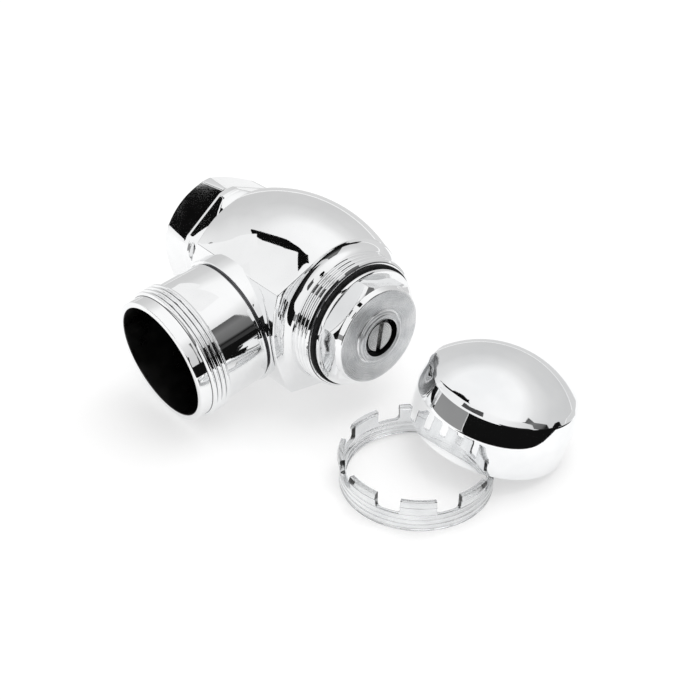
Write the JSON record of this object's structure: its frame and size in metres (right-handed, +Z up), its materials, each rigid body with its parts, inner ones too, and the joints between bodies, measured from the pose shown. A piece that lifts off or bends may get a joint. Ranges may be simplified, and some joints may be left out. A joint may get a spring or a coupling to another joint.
{
  "type": "angle stop valve",
  "caption": "Angle stop valve for shutting off or throttling water with a screwdriver, with hexagonal bonnet, clear snap sleeve and domed cover cap.",
  "frame": {"origin": "centre of the inlet mouth, on the inlet thread's axis", "axes": "+X along the valve axis from inlet to bonnet; +Z up from the surface it lies on; the outlet points along -Y and 8 degrees down"},
  "size_m": [0.1504, 0.1005, 0.0598],
  "materials": {
    "chrome_body": "polished chrome plate on brass",
    "chrome_cap": "polished chrome plate on thin brass",
    "satin_bonnet": "chrome plate, finely turned on the face",
    "screw_brass": "plated, satin",
    "brass": "bare turned brass",
    "gasket": "fibre and rubber sheet",
    "seal_rubber": "smooth rubber",
    "seat_rubber": "hard rubber",
    "slippery_plastic": "smooth",
    "spring_steel": "drawn wire and sheet",
    "pin_steel": "stainless",
    "clear_plastic": "clear, glossy"
  },
  "bodies": {
    "valve": {"valve_body": "chrome_body", "seat_ring": "brass", "bonnet": "satin_bonnet", "bonnet_gasket": "gasket", "friction_washer": "slippery_plastic", "plunger_guide": "brass"},
    "screw": {"adjusting_screw": "screw_brass", "screw_ring_outer": "seal_rubber", "screw_ring_inner": "seal_rubber", "retaining_clip": "spring_steel"},
    "plunger": {"plunger": "brass", "plunger_ring": "seal_rubber", "guide_pins": "pin_steel", "check_pin": "pin_steel", "check_spring": "spring_steel"},
    "seat_disc": {"washer_holder": "brass", "seat_washer": "seat_rubber", "washer_plate": "brass", "washer_screw": "pin_steel"},
    "sleeve": {"snap_sleeve": "clear_plastic"},
    "cap": {"cap_shell": "chrome_cap"}
  },
  "joints": [
    {"name": "screw_turn", "type": "hinge", "parent": "valve", "child": "screw", "pos_m": [0.046, 0, 0], "axis": [-1, 0, 0], "range_deg": [0, 2160]},
    {"name": "plunger_travel", "type": "slide", "parent": "valve", "child": "plunger", "axis": [-1, 0, 0], "range_m": [0, 0.009]},
    {"name": "check_float", "type": "slide", "parent": "plunger", "child": "seat_disc", "axis": [1, 0, 0], "range_m": [0, 0.0022], "stiffness_N_per_m": 400, "springref_m": -0.003, "deforming": ["check_spring"]},
    {"name": "sleeve_lift", "type": "slide", "parent": "valve", "child": "sleeve", "axis": [0, 0, 1], "range_m": [0, 0.06]},
    {"name": "cap_lift", "type": "slide", "parent": "sleeve", "child": "cap", "axis": [0.1159, 0.2143, 0.9699], "range_m": [0, 0.06]}
  ],
  "couplings": [
    {"joint": "screw_turn", "follows": "plunger_travel", "rad_per_m": 4188.8}
  ]
}
